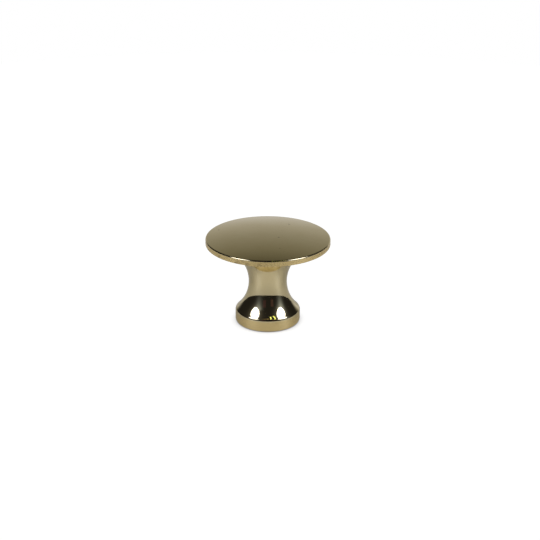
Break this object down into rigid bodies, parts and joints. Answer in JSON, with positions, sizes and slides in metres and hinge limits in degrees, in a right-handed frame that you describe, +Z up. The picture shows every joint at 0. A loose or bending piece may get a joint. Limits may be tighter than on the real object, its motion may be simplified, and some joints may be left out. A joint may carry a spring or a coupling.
{
  "type": "cabinet knob",
  "caption": "Turned brass cabinet knob: thin domed disc head on a waisted stem with a banded foot and a blind tapped hole in its base.",
  "frame": {"origin": "centre of the base face, where the foot seats on the cabinet front", "axes": "+Z up the axis of turning, from the base to the head; the part is round about it, and -Y faces the picture's camera"},
  "size_m": [0.03, 0.03, 0.0226],
  "materials": {
    "polished_brass": "polished bright, with fine turning marks"
  },
  "bodies": {
    "root": {"knob": "polished_brass"}
  },
  "joints": []
}
